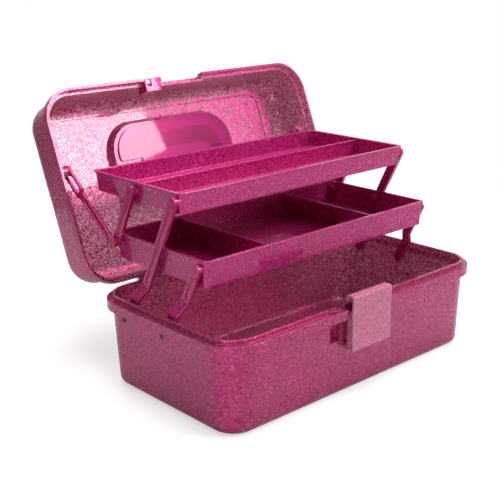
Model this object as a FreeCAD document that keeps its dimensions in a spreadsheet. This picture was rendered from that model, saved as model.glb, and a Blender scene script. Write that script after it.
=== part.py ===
import FreeCAD, Part
import Sketcher
import math
import os
import re

# A craft storage box of glitter plastic, shown open: a tub, two trays on a
# cranked parallelogram linkage, a deep lid with a folding carry handle, and a
# snap latch. X runs along the box, -Y is the front, +Z is up, and the origin is
# the centre of the tub's underside. Lengths are millimetres, angles degrees.

document = FreeCAD.newDocument("craft_box")
sheet = document.addObject("Spreadsheet::Sheet", "sizes")

sizes = {
    # Tub, its flange with a turned-down skirt, and the lip that the lid closes over
    "tub_length": 320,
    "tub_depth": 178,
    "tub_height": 82,
    "tub_draft": 4,
    "tub_wall": 2.6,
    "tub_floor": 2.6,
    "tub_corner": 27,
    "tub_bottom_round": 7,
    "flange_width": 5,
    "flange_thick": 2.4,
    "skirt_drop": 8.5,
    "skirt_thick": 2,
    "lip_height": 4,
    # Pivots of the linkage in the tub's end walls
    "pivot_drop": 13.5,
    "rear_pivot_inset": 34.5,
    "pivot_spacing": 55,
    "foot_pad_width": 12,
    "foot_pad_thick": 1.84,
    "foot_pad_length": 40,
    "snap_recess": 7.4,
    "snap_recess_deep": 1,
    # Lid and its hinge
    "hinge_behind": 6.2,
    "hinge_above": 2.4,
    "hinge_place": 100,
    "hinge_length": 26,
    "knuckle_length": 12,
    "knuckle_round": 3.6,
    "hinge_pin": 2.6,
    "hinge_notch_gap": 0.5,
    "knuckle_gap": 0.2,
    "lid_open_angle": 112,
    "lid_height": 50.5,
    "lid_rim_inset": 0.4,
    "lid_band_height": 9,
    "lid_step": 3.2,
    "lid_draft": 2.5,
    "lid_wall": 2.4,
    "lid_top_round": 14,
    "panel_rise": 1.2,
    "panel_half_length": 133,
    "panel_back": 28,
    "panel_front": 168,
    "panel_corner": 12,
    # Handle recess in the lid, and the finger well in it
    "recess_width": 152,
    "recess_front": 154,
    "recess_back": 76,
    "recess_deep": 8.1,
    "recess_corner": 30,
    "recess_back_corner": 10,
    "recess_draft": 4,
    "well_front": 149,
    "well_back": 120,
    "well_middle_back": 98,
    "well_middle_width": 86,
    "well_width": 138,
    "well_extra": 1.8,
    "well_corner": 25,
    # Carry handle
    "handle_pivot_place": 88,
    "handle_grip_front": 143,
    "handle_width": 126,
    "handle_bar": 18,
    "handle_leg": 12,
    "handle_corner": 22,
    "handle_thick": 6.4,
    "handle_pin": 5,
    "handle_pin_length": 4,
    "handle_boss": 9,
    # Latch, and the lugs that it snaps onto
    "latch_width": 50,
    "latch_gap": 1.8,
    "latch_top": 93.6,
    "latch_bottom": 43,
    "latch_stand_off": 8.2,
    "latch_thick": 2,
    "latch_hook_reach": 8.9,
    "latch_hook_drop": 5,
    "latch_cheek": 7.7,
    "latch_pivot_height": 47.2,
    "latch_pivot_stand": 2.4,
    "latch_cheek_round": 3.4,
    "latch_pin": 3,
    "latch_lug_thick": 2.6,
    "latch_lug_round": 3.2,
    "latch_cheek_straight": 26,
    "latch_cheek_top": 34,
    "latch_swell": 0.4,
    # Recess in the lid for the latch's hook, and the rib that it snaps over
    "latch_recess_deep": 1.2,
    "latch_recess_wall": 2.2,
    "latch_recess_top": 12,
    "latch_block_out": 2.5,
    "hook_rib_length": 36,
    "hook_rib": 0.25,
    # Padlock eyes, one through each rim
    "padlock_place": 41,
    "padlock_pocket_width": 13,
    "padlock_pocket_deep": 7,
    "padlock_pocket_bottom": 53,
    "padlock_wall": 2,
    "padlock_hole": 4.6,
    "lid_pocket_height": 10,
    "lid_pocket_deep": 8.2,
    "lid_eye_width": 5.5,
    "lid_eye_length": 7.4,
    "lid_eye_corner": 1.5,
    # Trays
    "tray_depth": 130,
    "tray_wall": 1.8,
    "tray_floor": 1.8,
    "tray_lip": 1.2,
    "tray_lip_thick": 1.8,
    "tray_draft": 1.6,
    "tray_corner": 6,
    "lower_tray_height": 24,
    "upper_tray_height": 18.5,
    "tray_pivot_drop": 8,
    "lower_tray_pivot_inset": 8.7,
    "upper_tray_pivot_inset": 7.3,
    "rear_arm_spacing": 58.8,
    "divider_thick": 1.4,
    "divider_place": 68,
    "slot_rib": 1.4,
    "upper_divider_place": 62,
    "pivot_boss": 8,
    "boss_length": 5.7,
    # Linkage arms
    "arm_open_angle": 63,
    "short_arm": 70,
    "long_arm": 128,
    "arm_width": 9,
    "arm_thick": 3.5,
    "foot_thick": 4.3,
    "foot_length": 22,
    "crank_length": 14,
    "arm_channel_width": 4.4,
    "arm_channel_deep": 1.2,
    "arm_channel_end": 8,
    "pivot_pin": 4.8,
    "foot_pin": 5.2,
    "pin_head": 6,
    "pin_head_thick": 0.9,
    # Slotted stays from the lid to the lower tray
    "stay_thick": 2.2,
    "stay_width": 8,
    "stay_blade_width": 12.8,
    "stay_rib": 0.9,
    "stay_post_reach": 114,
    "stay_post_height": 13,
    "stay_post": 4,
    "stay_post_head": 9.4,
    "stay_slot_travel": 21,
    "stay_slot_play": 1.7,
    "stay_slot_offset": 0.95,
    "stay_blade_lead": 10,
    "stay_groove_edge": 1.8,
    "stay_groove_start": 7,
    # Clearances
    "running_gap": 0.07,
    "side_gap": 0.3,
    "rest_gap": 0.3,
    "head_gap": 0.4,
}

for row, (name, value) in enumerate(sizes.items(), start=1):
    sheet.set("A%d" % row, name)
    sheet.set("B%d" % row, str(value))
    sheet.setAlias("B%d" % row, name)
document.recompute()

size_words = re.compile(r"\b(" + "|".join(sorted(sizes, key=len, reverse=True)) + r")\b")


def formula(text):
    """An expression in which each size's name is its cell of the sheet."""
    return size_words.sub(lambda match: "sizes." + match.group(1), str(text))


def number(text):
    """The present value of an expression of sizes."""
    answer = sheet.evalExpression(formula(text))
    return float(getattr(answer, "Value", answer))


# Places that several pieces share, each written once as an expression.

HALF_LENGTH = "(tub_length / 2)"
PIVOT_HEIGHT = "(tub_height - pivot_drop)"
REAR_PIVOT = "(tub_depth / 2 - rear_pivot_inset)"
FRONT_PIVOT = "(tub_depth / 2 - rear_pivot_inset - pivot_spacing)"

# From the end wall inwards: foot pad, arm foot, stay, post head, arm, tray.
WALL_IN = "(tub_length / 2 - tub_draft * pivot_drop / tub_height - tub_wall)"
PAD_FACE = "(%s - foot_pad_thick)" % WALL_IN
FOOT_OUT = "(%s - side_gap)" % PAD_FACE
FOOT_IN = "(%s - foot_thick)" % FOOT_OUT
STAY_OUT = "(%s - head_gap)" % FOOT_IN
STAY_IN = "(%s - stay_thick)" % STAY_OUT
ARM_OUT = "(%s - 2 * head_gap - pin_head_thick)" % STAY_IN
ARM_IN = "(%s - arm_thick)" % ARM_OUT
TRAY_END = "(%s - side_gap)" % ARM_IN
BOSS_IN = "(%s - boss_length)" % TRAY_END
SNAP_FACE = "(tub_length / 2 - tub_draft * pivot_drop / tub_height - snap_recess_deep)"
HINGE_Y = "(tub_depth / 2 + hinge_behind)"
HINGE_Z = "(tub_height + hinge_above)"
LATCH_PIVOT = "(-tub_depth / 2 - latch_pivot_stand)"
HANDLE_HEIGHT = "(lid_height - hinge_above + rest_gap + panel_rise - recess_deep + 0.4 + handle_thick / 2)"

SIDES = (("left", -1), ("right", 1))


def direction(angle):
    """Unit vector (y, z) of an arm that leans forward at an angle above level."""
    return -math.cos(math.radians(angle)), math.sin(math.radians(angle))


def along(start, reach, angle):
    lean = direction(angle)
    return start[0] + reach * lean[0], start[1] + reach * lean[1]


# Pivots in the YZ plane with the lid open: the arms lean forward together.

open_angle = number("arm_open_angle")
base_rear = (number(REAR_PIVOT), number(PIVOT_HEIGHT))
base_front = (number(FRONT_PIVOT), number(PIVOT_HEIGHT))
lower_front = along(base_front, number("short_arm"), open_angle)
lower_middle = along(base_rear, number("short_arm"), open_angle)
upper_front = along(base_rear, number("long_arm"), open_angle)
spacing = number("rear_arm_spacing")
lower_rear = (lower_middle[0] + spacing, lower_middle[1])
hinge = (number("tub_depth / 2 + hinge_behind"), number("tub_height + hinge_above"))


def lid_point(reach, height):
    """Place (y, z) of a point of the open lid, from its reach and height on the hinge."""
    turn = math.radians(number("lid_open_angle"))
    y = hinge[0] - reach * math.cos(turn) + height * math.sin(turn)
    z = hinge[1] + reach * math.sin(turn) + height * math.cos(turn)
    return y, z


post = lid_point(number("stay_post_reach"), number("stay_post_height"))
stay_reach = math.hypot(post[0] - lower_rear[0], post[1] - lower_rear[1])
stay_angle = math.degrees(math.atan2(post[1] - lower_rear[1], post[0] - lower_rear[0]))
stay_lean = stay_angle - number("stay_slot_offset")


# Sketches and features.

def bind(thing, property_name, text):
    thing.setExpression(property_name, formula(text))


def pin_point(sketch, geometry, end, x, y):
    """Hold one point of a sketch at bound distances from the sketch's origin."""
    for kind, text in (("DistanceX", x), ("DistanceY", y)):
        rule = Sketcher.Constraint(kind, -1, 1, geometry, end, number(text))
        index = sketch.addConstraint(rule)
        bind(sketch, "Constraints[%d]" % index, text)


def join(sketch, first, first_end, second, second_end):
    sketch.addConstraint(Sketcher.Constraint("Coincident", first, first_end, second, second_end))


def polygon(*points):
    """Outline with straight sides through the given corners."""
    def draw(sketch):
        corners = [FreeCAD.Vector(number(x), number(y), 0) for x, y in points]
        first = sketch.GeometryCount
        for start, end in zip(corners, corners[1:] + corners[:1]):
            sketch.addGeometry(Part.LineSegment(start, end), False)
        count = len(points)
        for index in range(count):
            join(sketch, first + index, 2, first + (index + 1) % count, 1)
            pin_point(sketch, first + index, 1, *points[index])
    return draw


def rectangle(x_low, x_high, y_low, y_high):
    return polygon((x_low, y_low), (x_high, y_low), (x_high, y_high), (x_low, y_high))


def two_radii(x_low, x_high, y_low, y_high, low_radius, high_radius):
    """Rectangle with round corners, one radius at its low side and one at its high side."""
    def draw(sketch):
        low_left, low_right = "(%s) + (%s)" % (x_low, low_radius), "(%s) - (%s)" % (x_high, low_radius)
        high_left, high_right = "(%s) + (%s)" % (x_low, high_radius), "(%s) - (%s)" % (x_high, high_radius)
        bottom, top = "(%s) + (%s)" % (y_low, low_radius), "(%s) - (%s)" % (y_high, high_radius)
        lines = (
            ((low_left, y_low), (low_right, y_low)),
            ((x_high, bottom), (x_high, top)),
            ((high_right, y_high), (high_left, y_high)),
            ((x_low, top), (x_low, bottom)),
        )
        arcs = (
            ((low_right, bottom), low_radius),
            ((high_right, top), high_radius),
            ((high_left, top), high_radius),
            ((low_left, bottom), low_radius),
        )
        first = sketch.GeometryCount
        for start, end in lines:
            start_point = FreeCAD.Vector(number(start[0]), number(start[1]), 0)
            end_point = FreeCAD.Vector(number(end[0]), number(end[1]), 0)
            sketch.addGeometry(Part.LineSegment(start_point, end_point), False)
        for index, ((x, y), radius) in enumerate(arcs):
            circle = Part.Circle(FreeCAD.Vector(number(x), number(y), 0),
                                 FreeCAD.Vector(0, 0, 1), number(radius))
            start_angle = (index - 1) * math.pi / 2
            sketch.addGeometry(Part.ArcOfCircle(circle, start_angle, start_angle + math.pi / 2), False)
        for index, (start, end) in enumerate(lines):
            pin_point(sketch, first + index, 1, *start)
            pin_point(sketch, first + index, 2, *end)
            arc = first + 4 + index
            radius = arcs[index][1]
            join(sketch, first + index, 2, arc, 1)
            join(sketch, arc, 2, first + (index + 1) % 4, 1)
            rule = sketch.addConstraint(Sketcher.Constraint("Radius", arc, number(radius)))
            bind(sketch, "Constraints[%d]" % rule, radius)
    return draw


def rounded(x_low, x_high, y_low, y_high, radius):
    return two_radii(x_low, x_high, y_low, y_high, radius, radius)


def centred_rounded(width, depth, radius, centre_y="0"):
    half_width, half_depth = "(%s) / 2" % width, "(%s) / 2" % depth
    return rounded("-(%s)" % half_width, half_width,
                   "(%s) - (%s)" % (centre_y, half_depth), "(%s) + (%s)" % (centre_y, half_depth),
                   radius)


def disc(x, y, radius):
    def draw(sketch):
        circle = Part.Circle(FreeCAD.Vector(number(x), number(y), 0),
                             FreeCAD.Vector(0, 0, 1), number(radius))
        index = sketch.addGeometry(circle, False)
        pin_point(sketch, index, 3, x, y)
        rule = sketch.addConstraint(Sketcher.Constraint("Radius", index, number(radius)))
        bind(sketch, "Constraints[%d]" % rule, radius)
    return draw


def ring(outer, inner):
    """Two outlines in one sketch, the second a hole in the first."""
    def draw(sketch):
        outer(sketch)
        inner(sketch)
    return draw


bodies = []


def new_body(label, lean=0.0, place=(0.0, 0.0, 0.0)):
    """Empty body under its own name, leaned about X and put in its place."""
    body = document.addObject("PartDesign::Body", label)
    body.Label = label
    turn = FreeCAD.Rotation(FreeCAD.Vector(1, 0, 0), lean)
    body.Placement = FreeCAD.Placement(FreeCAD.Vector(*place), turn)
    bodies.append(body)
    return body


def prism(body, plane, outline, low, high, cutting, taper):
    """Pad, or pocket, an outline from low to high along the plane's normal."""
    sketch = body.newObject("Sketcher::SketchObject", "outline")
    support = next(item for item in body.Origin.OriginFeatures if item.Role == plane)
    sketch.AttachmentSupport = [(support, "")]
    sketch.MapMode = "FlatFace"
    bind(sketch, ".AttachmentOffset.Base.z", low)
    outline(sketch)
    feature = body.newObject("PartDesign::Pocket" if cutting else "PartDesign::Pad", "feature")
    feature.Profile = sketch
    feature.Reversed = cutting
    bind(feature, "Length", "(%s) - (%s)" % (high, low))
    if taper is not None:
        bind(feature, "TaperAngle", taper)
    body.Tip = feature
    document.recompute()
    return feature


def add(body, plane, outline, low, high, taper=None):
    return prism(body, plane, outline, low, high, False, taper)


def cut(body, plane, outline, low, high, taper=None):
    return prism(body, plane, outline, low, high, True, taper)


def span(side, near, far):
    """Two places along X on one side of the box, in rising order."""
    if side > 0:
        return near, far
    return "-(%s)" % far, "-(%s)" % near


def round_edges(body, radius, chosen):
    """Round the edges of the body's present shape that a test picks."""
    document.recompute()
    before = body.Tip
    picked = ["Edge%d" % (index + 1) for index, edge in enumerate(before.Shape.Edges) if chosen(edge)]
    feature = body.newObject("PartDesign::Fillet", "rounding")
    feature.Base = (before, picked)
    bind(feature, "Radius", radius)
    body.Tip = feature
    return feature


def level_edge(height, inside=None):
    """Test for edges that lie flat at a height, within limits when given."""
    def chosen(edge):
        box = edge.BoundBox
        if abs(box.ZMin - height) > 1e-4 or abs(box.ZMax - height) > 1e-4:
            return False
        return inside is None or inside(box)
    return chosen


# The tub.

TUB_DRAFT = "atan(tub_draft / tub_height)"
LATCH_ROOM = "(latch_width / 2 + latch_gap)"
EYE_LEFT = "(-padlock_place - padlock_pocket_width / 2 + 3)"
EYE_RIGHT = "(-padlock_place + padlock_pocket_width / 2 + 3)"


def make_tub():
    tub = new_body("base_tub")
    flange_low = "(tub_height - flange_thick)"
    skirt_low = "(tub_height - skirt_drop)"
    add(tub, "XY_Plane", centred_rounded("tub_length - 2 * tub_draft", "tub_depth - 2 * tub_draft",
                                         "tub_corner - tub_draft"), "0", "tub_height", TUB_DRAFT)
    round_edges(tub, "tub_bottom_round", level_edge(0))
    add(tub, "XY_Plane", centred_rounded("tub_length + 2 * flange_width", "tub_depth + 2 * flange_width",
                                         "tub_corner + flange_width"), skirt_low, "tub_height")
    add(tub, "XY_Plane", centred_rounded("tub_length", "tub_depth", "tub_corner"),
        flange_low, "tub_height + lip_height")
    groove = ring(
        centred_rounded("tub_length + 2 * (flange_width - skirt_thick)",
                        "tub_depth + 2 * (flange_width - skirt_thick)",
                        "tub_corner + flange_width - skirt_thick"),
        centred_rounded("tub_length", "tub_depth", "tub_corner"))
    cut(tub, "XY_Plane", groove, skirt_low, flange_low)
    shrink = "(tub_wall + tub_draft * (1 - tub_floor / tub_height))"
    cut(tub, "XY_Plane", centred_rounded("tub_length - 2 * " + shrink, "tub_depth - 2 * " + shrink,
                                         "tub_corner - " + shrink),
        "tub_floor", "tub_height + lip_height + 1", TUB_DRAFT)
    round_edges(tub, "tub_bottom_round - 2", level_edge(number("tub_floor")))
    # Gap in the flange for the latch
    cut(tub, "XY_Plane", rectangle("-" + LATCH_ROOM, LATCH_ROOM, "-tub_depth / 2 - flange_width - 1",
                                   "-tub_depth / 2"), skirt_low + " - 0.1", "tub_height")
    add_padlock_pocket(tub)
    for side in (-1, 1):
        add_foot_pads(tub, side)
        add_latch_lug(tub, side)
        add_tub_knuckles(tub, side)
    return tub


def add_padlock_pocket(tub):
    """Hollow in the front wall where a small padlock hangs from an eye in the flange."""
    wall = "padlock_wall"
    deep = "(tub_depth / 2 - padlock_pocket_deep)"
    floor = "padlock_pocket_bottom"
    top = "(tub_height - flange_thick)"
    add(tub, "XY_Plane", rectangle(EYE_LEFT + " - " + wall, EYE_RIGHT + " + " + wall,
                                   "-tub_depth / 2 + 1.6", "-%s + %s" % (deep, wall)),
        floor + " - " + wall, "tub_height")
    cut(tub, "XY_Plane", rectangle(EYE_LEFT, EYE_RIGHT, "-tub_depth / 2 - flange_width + skirt_thick",
                                   "-" + deep), floor, top)
    cut(tub, "XY_Plane", rectangle(EYE_LEFT + " - 3.5", "-%s - 1.5" % LATCH_ROOM,
                                   "-tub_depth / 2 - 0.2", "-%s + %s + 1" % (deep, wall)),
        "tub_height", "tub_height + lip_height + 1")
    cut(tub, "XY_Plane", disc("-padlock_place - 1", "-tub_depth / 2 - 0.6", "padlock_hole / 2"),
        top + " - 1", "tub_height + 1")


def add_foot_pads(tub, side):
    """Two upright pads inside an end wall, bored for the feet of the arms."""
    for place in (REAR_PIVOT, FRONT_PIVOT):
        half = "foot_pad_width / 2"
        inner, outer = span(side, PAD_FACE, WALL_IN + " + 0.3")
        add(tub, "YZ_Plane", rectangle("%s - %s" % (place, half), "%s + %s" % (place, half),
                                       PIVOT_HEIGHT + " - foot_pad_length", PIVOT_HEIGHT), inner, outer)
        add(tub, "YZ_Plane", disc(place, PIVOT_HEIGHT, half), inner, outer)
        inner, outer = span(side, PAD_FACE + " - 1", HALF_LENGTH + " + 1")
        cut(tub, "YZ_Plane", disc(place, PIVOT_HEIGHT, "foot_pin / 2 + running_gap"), inner, outer)
        inner, outer = span(side, SNAP_FACE, HALF_LENGTH + " + 1")
        cut(tub, "YZ_Plane", disc(place, PIVOT_HEIGHT, "snap_recess / 2"), inner, outer)


def add_latch_lug(tub, side):
    """Lug on the front wall that one cheek of the latch turns on."""
    outer_face = "(latch_width / 2 - latch_thick - side_gap)"
    low, high = span(side, outer_face + " - latch_lug_thick", outer_face)
    round_off = "latch_lug_round"
    add(tub, "YZ_Plane", polygon((LATCH_PIVOT, "latch_pivot_height - " + round_off),
                                 ("-tub_depth / 2 + tub_draft", "latch_pivot_height - " + round_off),
                                 ("-tub_depth / 2 + tub_draft", "latch_pivot_height + 3 * " + round_off),
                                 ("-tub_depth / 2 + 1", "latch_pivot_height + 3 * " + round_off),
                                 (LATCH_PIVOT, "latch_pivot_height + " + round_off)), low, high)
    add(tub, "YZ_Plane", disc(LATCH_PIVOT, "latch_pivot_height", round_off), low, high)
    low, high = span(side, outer_face + " - latch_lug_thick - 0.1", outer_face + " + 0.1")
    cut(tub, "YZ_Plane", disc(LATCH_PIVOT, "latch_pivot_height", "latch_pin / 2 + running_gap"), low, high)


def add_tub_knuckles(tub, side):
    """Two knuckles behind the flange, and the notch between them for the lid's knuckle."""
    inner, outer = span(side, "hinge_place - knuckle_length / 2 - knuckle_gap",
                        "hinge_place + knuckle_length / 2 + knuckle_gap")
    cut(tub, "YZ_Plane", disc(HINGE_Y, HINGE_Z, "knuckle_round + hinge_notch_gap"), inner, outer)
    near = "(hinge_place - hinge_length / 2)"
    far = "(hinge_place + hinge_length / 2)"
    for low, high in ((near, "hinge_place - knuckle_length / 2 - knuckle_gap"),
                      ("hinge_place + knuckle_length / 2 + knuckle_gap", far)):
        low, high = span(side, low, high)
        add(tub, "YZ_Plane", polygon((HINGE_Y + " - knuckle_round + 0.8", HINGE_Z),
                                     (HINGE_Y + " - knuckle_round + 0.8", HINGE_Z + " - 3.4"),
                                     ("tub_depth / 2 + flange_width - 0.2", "tub_height - 6"),
                                     ("tub_depth / 2 + flange_width", "tub_height - 6"),
                                     (HINGE_Y + " + knuckle_round", HINGE_Z)), low, high)
        add(tub, "YZ_Plane", disc(HINGE_Y, HINGE_Z, "knuckle_round"), low, high)
    low, high = span(side, near + " - 0.1", far + " + 0.1")
    cut(tub, "YZ_Plane", disc(HINGE_Y, HINGE_Z, "hinge_pin / 2 + running_gap"), low, high)


def make_hinge_pin(word, side):
    """Headed steel pin along the hinge, spread at its other end."""
    pin = new_body("hinge_pin_" + word, 0.0, (side * number("hinge_place"),) + hinge)
    half = "hinge_length / 2"
    add(pin, "YZ_Plane", disc("0", "0", "hinge_pin / 2"), "-" + half + " - 0.3", half + " + 0.3")
    low, high = span(side, half + " + 0.1", half + " + 0.9")
    add(pin, "YZ_Plane", disc("0", "0", "hinge_pin / 2 + 0.9"), low, high)
    low, high = span(-side, half + " + 0.1", half + " + 0.6")
    add(pin, "YZ_Plane", disc("0", "0", "hinge_pin / 2 + 0.3"), low, high)


# The lid, drawn closed: its origin is on the hinge, reach runs to -Y and height to +Z.

RIM = "(-hinge_above + rest_gap)"
BAND_TOP = "(%s + lid_band_height)" % RIM
LID_TOP = "(lid_height - hinge_above + rest_gap)"
LID_CENTRE = "(-tub_depth / 2 - hinge_behind)"
BAND_OUT = "(flange_width - 0.3)"
MAIN_OUT = "(%s - lid_step)" % BAND_OUT
LID_DRAFT = "-atan(lid_draft / (lid_height))"
RECESS_FLOOR = "(%s + panel_rise - recess_deep)" % LID_TOP
RECESS_DRAFT = "atan(recess_draft / recess_deep)"


def lid_outline(grow):
    return centred_rounded("tub_length + 2 * (%s)" % grow, "tub_depth + 2 * (%s)" % grow,
                           "tub_corner + (%s)" % grow, LID_CENTRE)


def recess_outline(grow):
    """D shape: the front corners round, the back ones nearly square."""
    return two_radii("-recess_width / 2 - (%s)" % grow, "recess_width / 2 + (%s)" % grow,
                     "-recess_front - (%s)" % grow, "-recess_back + (%s)" % grow,
                     "recess_corner + (%s)" % grow, "recess_back_corner + (%s)" % grow)


def well_outlines(grow):
    """The finger well under the grip, and the deeper middle behind it."""
    front = two_radii("-well_width / 2 - (%s)" % grow, "well_width / 2 + (%s)" % grow,
                      "-well_front - (%s)" % grow, "-well_back + (%s)" % grow,
                      "well_corner + (%s)" % grow, "1.5 + (%s)" % grow)
    middle = two_radii("-well_middle_width / 2 - (%s)" % grow, "well_middle_width / 2 + (%s)" % grow,
                       "-well_back - 12", "-well_middle_back + (%s)" % grow, "2", "5 + (%s)" % grow)
    return front, middle


def band_top_edge(edge):
    """Outer edges of the band's top."""
    box = edge.BoundBox
    level = abs(box.ZMin - number(BAND_TOP)) < 1e-4 and abs(box.ZMax - number(BAND_TOP)) < 1e-4
    outside = max(abs(box.XMin), abs(box.XMax)) > number(HALF_LENGTH + " + " + BAND_OUT) - 0.01
    reach = (-box.YMin, -box.YMax)
    front = abs(reach[0] - number("tub_depth + hinge_behind + " + BAND_OUT)) < 0.01
    rear = abs(reach[1] - number("hinge_behind - " + BAND_OUT)) < 0.01
    return level and (outside or front or rear)


def make_lid():
    lid = new_body("lid", -number("lid_open_angle"), (0.0,) + hinge)
    add(lid, "XY_Plane", lid_outline(MAIN_OUT), RIM, LID_TOP, LID_DRAFT)
    cut(lid, "XY_Plane", lid_outline(MAIN_OUT + " - lid_wall"), RIM, LID_TOP + " - lid_wall", LID_DRAFT)
    round_edges(lid, "lid_top_round - lid_wall", level_edge(number(LID_TOP + " - lid_wall")))
    round_edges(lid, "lid_top_round", level_edge(number(LID_TOP)))
    # Band that closes over the tub's lip
    add(lid, "XY_Plane", ring(lid_outline(BAND_OUT), lid_outline(MAIN_OUT + " - lid_wall / 2")), RIM, BAND_TOP)
    round_edges(lid, "1.2", band_top_edge)
    cut(lid, "XY_Plane", lid_outline(BAND_OUT + " - lid_wall"), RIM + " - 1", BAND_TOP + " - lid_wall")
    # Raised panel, hollow inside
    panel = two_radii("-panel_half_length - lid_wall", "panel_half_length + lid_wall",
                      "-panel_front - lid_wall", "-panel_back + lid_wall",
                      "panel_corner + lid_wall", "panel_corner + lid_wall")
    add(lid, "XY_Plane", panel, LID_TOP + " - 1", LID_TOP + " + panel_rise")
    panel = two_radii("-panel_half_length", "panel_half_length", "-panel_front", "-panel_back",
                      "panel_corner", "panel_corner")
    cut(lid, "XY_Plane", panel, LID_TOP + " - lid_wall - 1", LID_TOP + " - lid_wall + panel_rise")
    add_handle_recess(lid)
    add_latch_recess(lid)
    for side in (-1, 1):
        add_handle_seat(lid, side)
        add_lid_knuckle(lid, side)
        add_stay_post(lid, side)
    return lid


def add_handle_recess(lid):
    """Boss inside the lid, and the D-shaped recess for the handle outside it."""
    under = RECESS_FLOOR + " - lid_wall"
    add(lid, "XY_Plane", recess_outline("0.3"), under, LID_TOP + " - 0.4", RECESS_DRAFT)
    for outline in well_outlines("lid_wall"):
        add(lid, "XY_Plane", outline, under + " - well_extra", RECESS_FLOOR + " - 0.4")
    cut(lid, "XY_Plane", recess_outline("-1"), RECESS_FLOOR, LID_TOP + " + panel_rise + 1", RECESS_DRAFT)
    for outline in well_outlines("0"):
        cut(lid, "XY_Plane", outline, RECESS_FLOOR + " - well_extra", RECESS_FLOOR + " + 0.6")


def add_handle_seat(lid, side):
    """Bored block beside a leg of the handle, and the stop behind the leg."""
    low, high = span(side, "handle_width / 2 + 0.4", "recess_width / 2 - 4")
    centre = "-handle_pivot_place"
    half = "handle_boss / 2"
    add(lid, "YZ_Plane", rectangle(centre + " - " + half, centre + " + " + half,
                                   RECESS_FLOOR + " - 1", HANDLE_HEIGHT), low, high)
    add(lid, "YZ_Plane", disc(centre, HANDLE_HEIGHT, half), low, high)
    cut(lid, "YZ_Plane", disc(centre, HANDLE_HEIGHT, "handle_pin / 2 + running_gap"),
        *span(side, "handle_width / 2", "handle_width / 2 + handle_pin_length + 0.4"))
    low, high = span(side, "handle_width / 2 - handle_leg", "handle_width / 2")
    add(lid, "YZ_Plane", rectangle(centre + " + handle_thick / 2 + 0.5", centre + " + handle_thick / 2 + 4.5",
                                   RECESS_FLOOR + " - 1", HANDLE_HEIGHT + " + 3"), low, high)


def add_latch_recess(lid):
    """Room for the latch's hook in the front wall, and the padlock pocket beside it."""
    front = "(-tub_depth - hinge_behind)"
    block_front = front + " - latch_block_out"
    outside = front + " - flange_width - 1"
    back = "(%s + latch_recess_deep)" % front
    room = "(%s + latch_recess_wall)" % LATCH_ROOM
    lip_line = "(%s - lid_rim_inset)" % front
    pocket_left = "(-padlock_place - 4)"
    pocket_back = "(%s + lid_pocket_deep)" % front
    add(lid, "XY_Plane", rectangle("-" + room, room, block_front, back + " + lid_wall"),
        "latch_recess_wall", "latch_recess_top + latch_recess_wall")
    add(lid, "XY_Plane", rectangle("-" + room, room, block_front, lip_line), RIM, "latch_recess_wall + 0.8")
    add(lid, "XY_Plane", rectangle(pocket_left + " - padlock_wall", "-" + room + " + 1", block_front, pocket_back),
        RIM, "lid_pocket_height + latch_recess_wall")
    cut(lid, "XY_Plane", rectangle("-" + room + " - 0.3", room, lip_line, pocket_back + " + 1"),
        RIM + " - 1", "latch_recess_wall")
    cut(lid, "XY_Plane", rectangle("-" + LATCH_ROOM, LATCH_ROOM, outside, back), RIM + " - 1", "latch_recess_top")
    cut(lid, "XY_Plane", rectangle(pocket_left, "-" + room + " - 0.4", outside,
                                   pocket_back + " - latch_recess_wall"), "0.3", "lid_pocket_height")
    # Eye for the padlock's shackle
    across, along_y = "(-padlock_place - 1)", "(%s - 0.3)" % front
    cut(lid, "XY_Plane", two_radii(across + " - lid_eye_width / 2", across + " + lid_eye_width / 2",
                                   along_y + " - lid_eye_length / 2", along_y + " + lid_eye_length / 2",
                                   "lid_eye_corner", "lid_eye_corner"), RIM + " - 1", "1")
    # Rib under the hook's tip
    add(lid, "XY_Plane", rectangle("-hook_rib_length / 2", "hook_rib_length / 2",
                                   back + " - hook_rib", back + " + 0.5"),
        "latch_recess_wall", "latch_recess_wall + 1.2")


def add_lid_knuckle(lid, side):
    """Knuckle between the tub's two, and the notches in the rim for those."""
    for low, high in (("hinge_place - hinge_length / 2 - 1.4", "hinge_place - knuckle_length / 2"),
                      ("hinge_place + knuckle_length / 2", "hinge_place + hinge_length / 2 + 1.4")):
        cut(lid, "YZ_Plane", disc("0", "0", "knuckle_round + hinge_notch_gap"), *span(side, low, high))
    low, high = span(side, "hinge_place - knuckle_length / 2", "hinge_place + knuckle_length / 2")
    add(lid, "YZ_Plane", rectangle("-4.4", "0", "0", BAND_TOP + " - 1.3"), low, high)
    add(lid, "YZ_Plane", disc("0", "0", "knuckle_round"), low, high)
    cut(lid, "YZ_Plane", disc("0", "0", "hinge_pin / 2 + running_gap"), low + " - 0.1", high + " + 0.1")


def add_stay_post(lid, side):
    """Headed post on an end wall, which slides in the slot of a stay."""
    place = ("-stay_post_reach", "stay_post_height")
    low, high = span(side, STAY_OUT + " + head_gap", HALF_LENGTH)
    add(lid, "YZ_Plane", disc(*place, "stay_post_head / 2"), low, high)
    low, high = span(side, STAY_IN + " - head_gap - pin_head_thick", STAY_OUT + " + 1")
    add(lid, "YZ_Plane", disc(*place, "stay_post / 2"), low, high)
    low, high = span(side, STAY_IN + " - head_gap - pin_head_thick", STAY_IN + " - head_gap")
    add(lid, "YZ_Plane", disc(*place, "stay_post_head / 2"), low, high)


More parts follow.
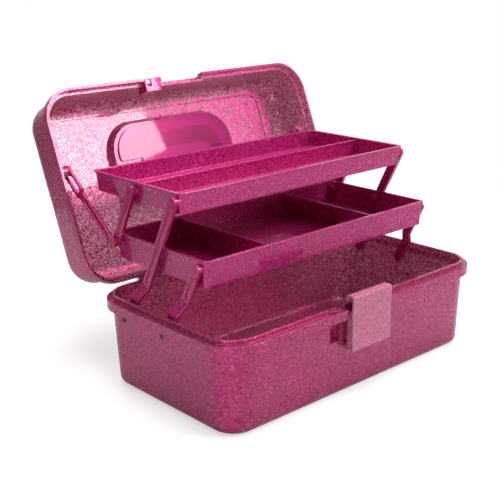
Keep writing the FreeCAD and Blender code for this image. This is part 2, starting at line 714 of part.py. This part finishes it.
def make_handle():
    """Folding loop, drawn lying flat with its origin on the pivot."""
    start = lid_point(number("handle_pivot_place"), number(HANDLE_HEIGHT))
    handle = new_body("carry_handle", -number("lid_open_angle"), (0.0,) + start)
    reach = "(handle_grip_front - handle_pivot_place)"
    half = "handle_thick / 2"
    add(handle, "XY_Plane", two_radii("-handle_width / 2", "handle_width / 2", "-" + reach, "0",
                                      "handle_corner", "0.5"), "-" + half, half)
    cut(handle, "XY_Plane", two_radii("-handle_width / 2 + handle_leg", "handle_width / 2 - handle_leg",
                                      "-%s + handle_bar" % reach, "10", "handle_corner / 2", "1"),
        "-handle_thick", "handle_thick")
    round_edges(handle, "2", lambda edge: edge.BoundBox.YMax < -6
                and (abs(edge.BoundBox.ZMin) == abs(edge.BoundBox.ZMax)))
    for side in (-1, 1):
        low, high = span(side, "handle_width / 2 - handle_leg", "handle_width / 2")
        add(handle, "YZ_Plane", disc("0", "0", half), low, high)
        low, high = span(side, "handle_width / 2 - 1", "handle_width / 2 + handle_pin_length")
        add(handle, "YZ_Plane", disc("0", "0", "handle_pin / 2"), low, high)


def make_latch():
    """Snap latch: plate, hook over the lid's rim, and two cheeks with pivot stubs."""
    latch = new_body("latch", 0.0, (0.0, number(LATCH_PIVOT), number("latch_pivot_height")))
    front = "(-tub_depth / 2 - latch_stand_off - (%s))" % LATCH_PIVOT
    back = "(%s + latch_thick)" % front
    top = "(latch_top - latch_pivot_height)"
    bottom = "(latch_bottom - latch_pivot_height)"
    hook = "(%s + latch_hook_reach)" % front
    half = "latch_width / 2"
    add(latch, "YZ_Plane", polygon((front, bottom), (front, top), (hook, top),
                                   (hook, top + " - latch_hook_drop"),
                                   (hook + " - latch_thick", top + " - latch_hook_drop"),
                                   (hook + " - latch_thick", top + " - latch_thick"),
                                   (back, top + " - latch_thick"), (back, bottom)),
        "-" + half, half)
    add(latch, "YZ_Plane", polygon((front + " - latch_swell", "tub_height - latch_pivot_height"),
                                   (front + " - latch_swell", top + " - 1.2"), (front + " + 1", top + " - 0.6"),
                                   (front + " + 1", "tub_height - latch_pivot_height")),
        "-" + half, half)
    for side in (-1, 1):
        low, high = span(side, half + " - latch_thick", half)
        cheek = "(%s + latch_cheek)" % front
        add(latch, "YZ_Plane", polygon((front, "0"), (cheek, "0"), (cheek, "latch_cheek_straight"),
                                       (back, "latch_cheek_top"), (front, "latch_cheek_top")), low, high)
        add(latch, "YZ_Plane", disc("0", "0", "latch_cheek_round"), low, high)
        low, high = span(side, half + " - latch_thick - side_gap - latch_lug_thick", half + " - 1")
        add(latch, "YZ_Plane", disc("0", "0", "latch_pin / 2"), low, high)
    round_edges(latch, "1.2", lambda edge: edge.BoundBox.ZMin > number(top) - 0.01
                and edge.BoundBox.YMin > 0 and edge.BoundBox.XLength > 40)
    return latch


# The trays, drawn with the origin at the middle of the rim's front edge.

def tray_outline(grow, depth="tray_depth"):
    return rounded("-%s - (%s)" % (TRAY_END, grow), "%s + (%s)" % (TRAY_END, grow),
                   "-(%s)" % grow, depth + " + (%s)" % grow, "tray_corner + (%s)" % grow)


def make_tray(label, height, place, holes):
    """Open tray with a thickened lip and a bored boss at each pivot."""
    tray = new_body(label, 0.0, (0.0,) + place)
    slope = "atan(tray_draft / (%s))" % height
    add(tray, "XY_Plane", tray_outline("-tray_lip - tray_draft"), "-" + height, "0", slope)
    add(tray, "XY_Plane", tray_outline("0"), "-tray_lip_thick", "0")
    for hole in holes:
        for side in (-1, 1):
            low, high = span(side, BOSS_IN, TRAY_END)
            add(tray, "YZ_Plane", disc(hole, "-tray_pivot_drop", "pivot_boss / 2"), low, high)
    inner = "-tray_lip - tray_draft * (1 - tray_floor / (%s)) - tray_wall" % height
    cut(tray, "XY_Plane", tray_outline(inner), "-%s + tray_floor" % height, "1", slope)
    for hole in holes:
        for side in (-1, 1):
            low, high = span(side, BOSS_IN, TRAY_END + " - 1")
            add(tray, "YZ_Plane", disc(hole, "-tray_pivot_drop", "pivot_boss / 2"), low, high)
            low, high = span(side, BOSS_IN + " - 0.1", TRAY_END + " + 0.1")
            cut(tray, "YZ_Plane", disc(hole, "-tray_pivot_drop", "pivot_pin / 2 + running_gap"), low, high)
    return tray


def make_upper_tray():
    height = "upper_tray_height"
    place = (upper_front[0] - number("upper_tray_pivot_inset"), upper_front[1] + number("tray_pivot_drop"))
    tray = make_tray("upper_tray", height, place,
                     ("upper_tray_pivot_inset", "upper_tray_pivot_inset + rear_arm_spacing"))
    wall = "upper_divider_place"
    add(tray, "YZ_Plane", rectangle(wall + " - divider_thick / 2", wall + " + divider_thick / 2",
                                    "-%s + 1" % height, "-tray_lip_thick"),
        "-%s + tray_lip + tray_wall" % TRAY_END, "%s - tray_lip - tray_wall" % TRAY_END)


def make_lower_tray():
    height = "lower_tray_height"
    place = (lower_front[0] - number("lower_tray_pivot_inset"), lower_front[1] + number("tray_pivot_drop"))
    middle = "(lower_tray_pivot_inset + pivot_spacing)"
    tray = make_tray("lower_tray", height, place,
                     ("lower_tray_pivot_inset", middle, middle + " + rear_arm_spacing"))
    gap = "(divider_thick / 2 + side_gap)"
    for side in (-1, 1):
        for low, high in (("-%s - slot_rib" % gap, "-" + gap), (gap, "%s + slot_rib" % gap)):
            x_low, x_high = "%d * divider_place + (%s)" % (side, low), "%d * divider_place + (%s)" % (side, high)
            for y_low, y_high in (("tray_lip + tray_wall - 0.5", "tray_lip + tray_wall + 2.4"),
                                  ("tray_depth - tray_lip - tray_wall - 2.4",
                                   "tray_depth - tray_lip - tray_wall + 0.5")):
                add(tray, "XY_Plane", rectangle(x_low, x_high, y_low, y_high),
                    "-%s + 1" % height, "-tray_lip_thick - 1")


def make_divider(word, side):
    """Loose plate that slides down between two pairs of ribs of the lower tray."""
    place = (lower_front[0] - number("lower_tray_pivot_inset"), lower_front[1] + number("tray_pivot_drop"))
    divider = new_body("tray_divider_" + word, 0.0, (side * number("divider_place"),) + place)
    floor = "-lower_tray_height + tray_floor + side_gap"
    top_inset = "tray_lip + tray_wall + side_gap + 0.1"
    low_inset = "tray_lip + tray_wall + tray_draft + side_gap"
    add(divider, "YZ_Plane", polygon((low_inset, floor), ("tray_depth - (%s)" % low_inset, floor),
                                     ("tray_depth - (%s)" % top_inset, "-tray_lip_thick"),
                                     (top_inset, "-tray_lip_thick")),
        "-divider_thick / 2", "divider_thick / 2")


# Arms of the linkage, drawn upright with the origin on the lower pivot.

def pin_into_tray(body, side, height):
    """Pin through a tray's boss, with a snap head inside the tray."""
    low, high = span(side, BOSS_IN + " - head_gap - pin_head_thick", ARM_IN + " + 1")
    add(body, "YZ_Plane", disc("0", height, "pivot_pin / 2"), low, high)
    low, high = span(side, BOSS_IN + " - head_gap - pin_head_thick", BOSS_IN + " - head_gap")
    add(body, "YZ_Plane", disc("0", height, "pin_head / 2"), low, high)


def make_cranked_arm(label, side, length, place, pins):
    """Arm with its foot against the tub's end wall and the rest against the trays."""
    arm = new_body(label, 90.0 - open_angle, (0.0,) + place)
    end = "arm_width / 2"
    outer = ((FOOT_OUT, "-" + end), (FOOT_OUT, "foot_length + 1"), (ARM_OUT, "foot_length + crank_length"),
             (ARM_OUT, "%s + %s" % (length, end)), (ARM_IN, "%s + %s" % (length, end)),
             (ARM_IN, "foot_length + crank_length - 1"), (FOOT_IN, "foot_length"), (FOOT_IN, "-" + end))
    corners = [("%d * %s" % (side, x), z) for x, z in outer]
    add(arm, "XZ_Plane", polygon(*corners), "-" + end, end)
    round_edges(arm, end + " - 0.02", arm_end_edge)
    low, high = span(side, ARM_OUT + " - arm_channel_deep", ARM_OUT + " + 0.5")
    half = "arm_channel_width / 2"
    cut(arm, "YZ_Plane", rounded("-" + half, half, "foot_length + crank_length + 2",
                                 "%s - arm_channel_end" % length, half + " - 0.02"), low, high)
    low, high = span(side, FOOT_OUT + " - 1", SNAP_FACE + " + 0.9")
    add(arm, "YZ_Plane", disc("0", "0", "foot_pin / 2"), low, high)
    low, high = span(side, SNAP_FACE + " + 0.2", SNAP_FACE + " + 0.9")
    add(arm, "YZ_Plane", disc("0", "0", "foot_pin / 2 + 0.6"), low, high)
    for height in pins:
        pin_into_tray(arm, side, height)


def arm_end_edge(edge):
    """Edges across the thickness at the four outer corners of an arm."""
    box = edge.BoundBox
    return box.XLength > 1 and box.YLength < 0.01 and box.ZLength < 0.01 and (
        box.ZMin < 0 or box.ZMin > number("foot_length + crank_length + 10"))


def make_rear_arm(word, side):
    """Straight arm from the lower tray's rear pivot up to the upper tray."""
    arm = new_body("rear_arm_" + word, 90.0 - open_angle, (0.0,) + lower_rear)
    length = "(long_arm - short_arm)"
    end = "arm_width / 2"
    low, high = span(side, ARM_IN, ARM_OUT)
    add(arm, "YZ_Plane", rounded("-" + end, end, "-" + end, "%s + %s" % (length, end), end + " - 0.02"),
        low, high)
    half = "arm_channel_width / 2"
    low, high = span(side, ARM_OUT + " - arm_channel_deep", ARM_OUT + " + 0.5")
    cut(arm, "YZ_Plane", rounded("-" + half, half, "arm_channel_end", length + " - arm_channel_end",
                                 half + " - 0.02"), low, high)
    low, high = span(side, ARM_IN + " - 1", ARM_OUT + " + 1")
    cut(arm, "YZ_Plane", disc("0", "0", "pivot_pin / 2 + running_gap"), low, high)
    pin_into_tray(arm, side, length)


def make_stay(word, side):
    """Slotted stay from the lower tray to the post inside the lid."""
    stay = new_body("lid_stay_" + word, stay_lean - 90.0, (0.0,) + lower_rear)
    shaft = "stay_width / 2"
    blade = "stay_blade_width / 2"
    slot_low = "(%.3f - stay_slot_travel)" % stay_reach
    slot_high = "%.3f" % (stay_reach + 0.3)
    slot = "(stay_post / 2 + stay_slot_play)"
    low, high = span(side, STAY_IN, STAY_OUT)
    add(stay, "YZ_Plane", rounded("-" + shaft, shaft, "-" + shaft, slot_low + " - stay_blade_lead + 4",
                                  shaft + " - 0.02"), low, high)
    add(stay, "YZ_Plane", rounded("-" + blade, blade, slot_low + " - stay_blade_lead", slot_high + " + " + blade,
                                  blade + " - 0.02"), low, high)
    cut(stay, "YZ_Plane", rounded("-" + slot, slot, "%s - %s" % (slot_low, slot), "%s + %s" % (slot_high, slot),
                                  slot + " - 0.02"), *span(side, STAY_IN + " - 1", STAY_OUT + " + 1"))
    groove = "(stay_width / 2 - stay_groove_edge)"
    cut(stay, "YZ_Plane", rounded("-" + groove, groove, "stay_groove_start",
                                  slot_low + " - stay_blade_lead - 2", groove + " - 0.02"),
        *span(side, STAY_OUT + " - stay_rib", STAY_OUT + " + 0.5"))
    low, high = span(side, ARM_OUT + " + 0.3", STAY_IN + " + 0.5")
    add(stay, "YZ_Plane", disc("0", "0", shaft), low, high)
    low, high = span(side, BOSS_IN + " - head_gap - pin_head_thick", STAY_IN)
    add(stay, "YZ_Plane", disc("0", "0", "pivot_pin / 2"), low, high)
    low, high = span(side, BOSS_IN + " - head_gap - pin_head_thick", BOSS_IN + " - head_gap")
    add(stay, "YZ_Plane", disc("0", "0", "pin_head / 2"), low, high)


make_tub()
make_lid()
make_handle()
make_latch()
make_upper_tray()
make_lower_tray()
for word, side in SIDES:
    make_hinge_pin(word, side)
    make_divider(word, side)
    make_cranked_arm("long_arm_" + word, side, "long_arm", base_rear, ("short_arm", "long_arm"))
    make_cranked_arm("short_arm_" + word, side, "short_arm", base_front, ("short_arm",))
    make_rear_arm(word, side)
    make_stay(word, side)
document.recompute()

# Every object must be sound before its shape is written out.

os.makedirs("parts", exist_ok=True)
for thing in document.Objects:
    if "Invalid" in thing.State or "Error" in thing.State:
        raise RuntimeError("%s of %s did not compute" % (thing.Name, thing.getParentGeoFeatureGroup()))
for body in bodies:
    shape = body.Shape
    if shape.isNull() or not shape.isValid() or len(shape.Solids) != 1:
        raise RuntimeError("%s is not one sound solid" % body.Label)
    shape.exportStep("parts/%s.step" % body.Label)
    print("%s: %.2f cm3" % (body.Label, shape.Volume / 1000))
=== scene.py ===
import bpy
import bmesh
import math
from mathutils import Matrix, Vector

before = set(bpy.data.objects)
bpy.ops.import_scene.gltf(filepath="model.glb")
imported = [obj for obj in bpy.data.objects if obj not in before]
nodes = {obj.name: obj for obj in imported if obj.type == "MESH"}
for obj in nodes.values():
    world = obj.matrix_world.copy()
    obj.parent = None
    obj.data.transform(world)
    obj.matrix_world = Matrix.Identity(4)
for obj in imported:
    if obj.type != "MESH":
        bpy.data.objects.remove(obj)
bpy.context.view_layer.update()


# The tub
# One deep moulding in magenta plastic that is full of fine glitter: foil flakes
# lie in it at all tilts, under a glossy skin.

class Wire:
    """A shader socket that adds, multiplies and compares as a number does."""

    def __init__(self, finish, socket):
        self.finish, self.socket = finish, socket

    def __add__(self, other):
        return self.finish.math("ADD", self, other)

    def __sub__(self, other):
        return self.finish.math("SUBTRACT", self, other)

    def __mul__(self, other):
        return self.finish.math("MULTIPLY", self, other)

    def __rsub__(self, other):
        return self.finish.math("SUBTRACT", other, self)

    def __gt__(self, other):
        return self.finish.math("GREATER_THAN", self, other)

    __radd__ = __add__
    __rmul__ = __mul__


class Finish:
    """A material being wired up around one Principled shader."""

    def __init__(self, name):
        self.material = bpy.data.materials.new(name)
        self.material.use_nodes = True
        self.tree = self.material.node_tree
        self.shader = self.tree.nodes["Principled BSDF"]

    def node(self, kind, settings, inputs):
        made = self.tree.nodes.new(kind)
        stops = settings.pop("stops", None)
        for name, value in settings.items():
            setattr(made, name, value)
        if stops:
            ramp = made.color_ramp
            while len(ramp.elements) < len(stops):
                ramp.elements.new(1.0)
            for element, (place, colour) in zip(ramp.elements, stops):
                element.position = place
                element.color = (*colour, 1.0)
        for name, value in inputs.items():
            if isinstance(value, Wire):
                self.tree.links.new(value.socket, made.inputs[name])
            else:
                made.inputs[name].default_value = value
        return [Wire(self, socket) for socket in made.outputs]

    def set(self, **values):
        for name, value in values.items():
            socket = self.shader.inputs[name.replace("_", " ").title().replace("Ior", "IOR")]
            if isinstance(value, Wire):
                self.tree.links.new(value.socket, socket)
            else:
                socket.default_value = value

    def place(self):
        return self.node("ShaderNodeTexCoord", {}, {})[3]

    def math(self, operation, *values):
        return self.node("ShaderNodeMath", {"operation": operation}, dict(enumerate(values)))[0]

    def vector(self, operation, *values):
        return self.node("ShaderNodeVectorMath", {"operation": operation}, dict(enumerate(values)))

    def choose(self, share, first, second):
        return self.node("ShaderNodeMix", {"data_type": "RGBA"}, {0: share, 6: first, 7: second})[2]

    def facing(self, centre):
        """1 on the faces that look towards a point, such as the inside of a shell."""
        normal = self.node("ShaderNodeTexCoord", {}, {})[1]
        away = self.vector("SUBTRACT", self.place(), centre)[0]
        return 0 - self.vector("DOT_PRODUCT", normal, away)[1] > 0


def glitter(name, flake, palette, clear, windows=0.3, see=0.75, foil=0.8, tilt=0.45, sheen=0.05, cavity=None,
            inside_glow_tint=(1.0, 0.60, 0.75), smooth_or_shaded=None, smooth_colour_or_shade=None, edge=0.0009):
    """Tinted plastic with foil flakes of a given size in metres, and clear plastic between them.

    Faces that look into a cavity are painted paler, as painted light for the glow through the walls. Where the
    smoothing mask is 1, no flakes show: the surface takes the plain body colour, or a given dark colour that paints
    shade on the arms' pin ends.
    """
    finish = Finish(name)
    where = finish.place()
    inside = finish.facing(cavity) if cavity else 0.0
    # Smoothing mask: real polish on the lid's recess floor, painted shade on the arms' pin ends.
    polished_or_shaded = smooth_or_shaded(finish, where) if smooth_or_shaded else 0.0
    rough = 1 - polished_or_shaded
    # Painted light: faces inside a cavity get a paler tone, a paler clear tint and more tilted flakes, standing in
    # for light glowing through the walls.
    painted_inside_light = inside * rough
    cells = finish.node("ShaderNodeTexVoronoi", {"feature": "F1"}, {"Vector": where, "Scale": (1 - painted_inside_light * 0.15) * (1 / flake)})
    mottle = finish.node("ShaderNodeTexNoise", {}, {"Vector": where, "Scale": 0.3 / flake, "Detail": 2.0})[0]
    dice = finish.node("ShaderNodeSeparateColor", {}, {"Color": cells[1]})
    shade = dice[0] * 0.72 + mottle * 0.4 - 0.12 + painted_inside_light * 0.26
    dark, body, rosy, silver = palette
    stops = ((0.1, dark), (0.36, body), (0.62, body), (0.75, rosy), (0.95, silver))
    colour = finish.node("ShaderNodeValToRGB", {"stops": stops}, {"Fac": shade})[0]
    glass = finish.choose(painted_inside_light, (*clear, 1.0), (*inside_glow_tint, 1.0))
    centred = finish.vector("SUBTRACT", cells[1], (0.5, 0.5, 0.5))[0]
    soft = finish.node("ShaderNodeBevel", {"samples": 6}, {"Radius": edge})[0]
    real = finish.node("ShaderNodeNewGeometry", {}, {})[1]
    flat = (finish.vector("DOT_PRODUCT", soft, real)[1] > 0.97) * rough
    leaning = finish.node("ShaderNodeVectorMath", {"operation": "SCALE"}, {0: centred, "Scale": (painted_inside_light * 0.4 + 0.6) * flat * tilt})[0]
    normal = finish.vector("NORMALIZE", finish.vector("ADD", soft, leaning)[0])[0]
    flakes = (dice[1] > windows) * foil * rough
    speckled = finish.choose(flakes > 0, glass, colour)
    # Painted highlight: along edges, where the bevelled normal turns away, the base colour turns rosy, so the rims
    # show bright lines.
    finish.set(base_color=finish.choose(flat, finish.choose(rough, (*(smooth_colour_or_shade or body), 1.0), (*rosy, 1.0)), speckled),
               metallic=flakes * flat + (rough - flat) * 0.5 + polished_or_shaded * 0.12, normal=normal,
               roughness=dice[2] * 0.2 * flat + 0.25, coat_weight=0.68 - painted_inside_light * 0.1 - polished_or_shaded * 0.08,
               coat_roughness=sheen, coat_ior=1.45, specular_ior_level=0.2, transmission_weight=see, ior=1.2)
    return finish.material


def dress(material, *names):
    for name in names:
        for slot in nodes[name].material_slots:
            slot.material = material


MAGENTA = (0.53, 0.004, 0.178)
ROSE = (0.70, 0.11, 0.28)
SILVER = (0.92, 0.62, 0.70)
PLASTIC = ((0.13, 0.001, 0.03), MAGENTA, ROSE, SILVER)
# The tub's inside faces are painted paler with a dimmer rosy tint than the lid's: painted light.
tub_glitter = glitter("tub_glitter", 0.0007, PLASTIC, (0.80, 0.18, 0.40), cavity=(0.0, 0.0, 0.06), inside_glow_tint=(0.60, 0.20, 0.32))
dress(tub_glitter, "base_tub")


# The hinge pins
# Two lengths of bright steel wire with a head, pushed through the knuckles.

steel = Finish("hinge_wire")
drawn = steel.node("ShaderNodeTexNoise", {}, {"Vector": steel.place(), "Scale": 900.0, "Detail": 2.0})[0]
steel.set(base_color=(0.60, 0.60, 0.62, 1.0), metallic=1.0, roughness=drawn * 0.2 + 0.2)
dress(steel.material, "hinge_pin_left", "hinge_pin_right")


# The lid
# Deep cover of the same glitter plastic, hinged at the back. The floor of the
# handle recess bulges into it and is polished on that side.

def recess_floor(finish, where):
    """1 on the inner face of the bulge under the handle recess, which stands in from the panel."""
    across, _, up = finish.node("ShaderNodeSeparateXYZ", {}, {0: where})
    depth = finish.vector("DOT_PRODUCT", where, LID_NORMAL)[1]
    beside = finish.math("ABSOLUTE", across)
    bulge = (depth > -0.0995) * (0.078 - beside > 0) * (up > 0.137) * (0.214 - up > 0)
    return bulge * finish.facing(LID_CAVITY)


LID_CAVITY = (0.0, 0.128, 0.168)
LID_NORMAL = (0.0, -math.sin(math.radians(68)), math.cos(math.radians(68)))
# Its inside faces are painted paler as painted light; the inner face of the recess floor is left smooth.
lid_glitter = glitter("lid_glitter", 0.0007, PLASTIC, (0.80, 0.18, 0.40), sheen=0.03,
                      cavity=LID_CAVITY, smooth_or_shaded=recess_floor)
dress(lid_glitter, "lid")


# The carry handle
# Solid folding loop in the recess on top of the lid, in the same plastic.

handle_glitter = glitter("handle_glitter", 0.0007, PLASTIC, MAGENTA, see=0.3)
dress(handle_glitter, "carry_handle")


# The latch
# Snap latch of a paler, clearer plastic, so that it looks milky pink.

# Its wider bevel also widens the rosy painted highlight along the latch's edges.
latch_clear = glitter("latch_clear", 0.0007, ((0.30, 0.035, 0.10), (0.46, 0.10, 0.20), (0.66, 0.27, 0.38), SILVER),
                      (0.70, 0.20, 0.36), windows=0.6, see=0.3, foil=0.6, tilt=0.3, edge=0.003)
dress(latch_clear, "latch")


# The trays
# Thinner mouldings, so a little brighter than the tub, with loose dividers.

tray_glitter = glitter("tray_glitter", 0.0007, ((0.20, 0.002, 0.055), (0.50, 0.012, 0.19), ROSE, SILVER),
                       (0.62, 0.015, 0.24), see=0.3, foil=0.7, tilt=0.4)
dress(tray_glitter, "upper_tray", "lower_tray", "tray_divider_left", "tray_divider_right")


# The linkage
# Cranked arms, straight rear arms and slotted stays, moulded with their pins.

def pin_end_shade(finish, where):
    """1 on the end face of each foot pin in the bores of the tub's end walls, which is painted dark as painted
    shade.
    """
    across, along, up = finish.node("ShaderNodeSeparateXYZ", {}, {0: where})
    beside = finish.math("ABSOLUTE", across)
    off = finish.math("ABSOLUTE", along - 0.027) - 0.0275
    spot = finish.node("ShaderNodeCombineXYZ", {}, {0: off, 1: up - 0.0685})[0]
    return (beside > 0.1585) * (0.003 - finish.vector("LENGTH", spot)[1] > 0)


# The pin ends take a near-black colour: painted shade inside the bores.
arm_glitter = glitter("arm_glitter", 0.0007, ((0.17, 0.003, 0.045), (0.50, 0.012, 0.165), ROSE, SILVER),
                      (0.62, 0.015, 0.20), see=0.3, foil=0.6, tilt=0.3, smooth_or_shaded=pin_end_shade, smooth_colour_or_shade=(0.06, 0.001, 0.02))
for side in ("left", "right"):
    dress(arm_glitter, "long_arm_" + side, "short_arm_" + side, "rear_arm_" + side, "lid_stay_" + side)


# Floor, light and camera
# White sweep under soft boxes, seen from the front left and a little above.

bpy.ops.mesh.primitive_circle_add(vertices=96, radius=0.75, fill_type="NGON", location=(0.0, 0.0, -0.0002))
floor = bpy.context.object
floor.name = "floor"
MIRRORED = 0.18
paper = Finish("white_sweep")
ray = paper.node("ShaderNodeLightPath", {}, {})
seen = ray[0] + (ray[3] + ray[6]) * MIRRORED
reach = paper.vector("LENGTH", paper.place())[1]
lift = paper.node("ShaderNodeMapRange", {}, {0: reach, 1: 0.25, 2: 0.7, 3: 0.55, 4: 1.0})[0] * seen
glow = paper.node("ShaderNodeCombineColor", {}, {0: lift, 1: lift, 2: lift})[0]
paper.set(base_color=(0.5, 0.5, 0.5, 1.0), roughness=0.9, specular_ior_level=0.1,
          emission_color=glow, emission_strength=1.0)
floor.data.materials.append(paper.material)

world = bpy.data.worlds.new("studio")
bpy.context.scene.world = world
world.use_nodes = True
sky = world.node_tree
surround = sky.nodes["Background"]
toward = sky.nodes.new("ShaderNodeTexCoord")
aside = sky.nodes.new("ShaderNodeSeparateXYZ")
fade = sky.nodes.new("ShaderNodeMapRange")
fade.interpolation_type = "SMOOTHSTEP"
fade.inputs["From Min"].default_value = -0.6
fade.inputs["From Max"].default_value = 0.6
fade.inputs["To Min"].default_value = 0.05
fade.inputs["To Max"].default_value = 0.65
surround.inputs["Color"].default_value = (1.0, 1.0, 1.0, 1.0)
sky.links.new(toward.outputs["Generated"], aside.inputs[0])
sky.links.new(aside.outputs["X"], fade.inputs["Value"])
sky.links.new(fade.outputs[0], surround.inputs["Strength"])
white = sky.nodes.new("ShaderNodeBackground")
white.inputs["Color"].default_value = (1.0, 1.0, 1.0, 1.0)
path = sky.nodes.new("ShaderNodeLightPath")
mix = sky.nodes.new("ShaderNodeMixShader")
glossy = sky.nodes.new("ShaderNodeMath")
seen = sky.nodes.new("ShaderNodeMath")
seen.operation = "MULTIPLY_ADD"
seen.inputs[1].default_value = MIRRORED
sky.links.new(path.outputs["Is Glossy Ray"], glossy.inputs[0])
sky.links.new(path.outputs["Is Transmission Ray"], glossy.inputs[1])
sky.links.new(glossy.outputs[0], seen.inputs[0])
sky.links.new(path.outputs["Is Camera Ray"], seen.inputs[2])
sky.links.new(seen.outputs[0], mix.inputs[0])
sky.links.new(surround.outputs[0], mix.inputs[1])
sky.links.new(white.outputs[0], mix.inputs[2])
sky.links.new(mix.outputs[0], sky.nodes["World Output"].inputs["Surface"])


def soft_box(name, place, target, wide, high, power):
    lamp = bpy.data.lights.new(name, "AREA")
    lamp.shape = "RECTANGLE"
    lamp.size, lamp.size_y, lamp.energy = wide, high, power
    holder = bpy.data.objects.new(name, lamp)
    bpy.context.collection.objects.link(holder)
    aim = Vector(target) - Vector(place)
    holder.matrix_world = Matrix.Translation(place) @ aim.to_track_quat("-Z", "Y").to_matrix().to_4x4()


soft_box("key_box", (0.66, -0.92, 0.985), (0.0, 0.17, 0.19), 0.42, 0.42, 10.0)
soft_box("back_box", (0.55, 1.2, 0.9), (0.0, 0.15, 0.2), 0.8, 0.8, 7.0)
soft_box("low_box", (-0.95, -0.6, 0.1), (-0.15, -0.05, 0.03), 0.5, 0.2, 3.5)
soft_box("top_box", (0.0, 0.0, 1.4), (0.0, 0.05, 0.1), 1.1, 0.9, 24.0)

YAW, PITCH, ROLL = math.radians(42.05), math.radians(-16.19), math.radians(-0.78)
camera = bpy.data.objects.new("camera", bpy.data.cameras.new("camera"))
bpy.context.collection.objects.link(camera)
camera.data.sensor_width = 36.0
camera.data.lens = 36.0 * 972.9 / 500
camera.data.shift_x = -0.006
camera.data.shift_y = -0.0386
camera.data.clip_start = 0.01
camera.data.clip_end = 200.0
camera.matrix_world = (Matrix.Translation((-0.6145, -0.6227, 0.3827)) @ Matrix.Rotation(-YAW, 4, "Z")
                       @ Matrix.Rotation(math.pi / 2 + PITCH, 4, "X") @ Matrix.Rotation(ROLL, 4, "Z"))
bpy.context.scene.camera = camera
bpy.context.scene.view_settings.view_transform = "Standard"
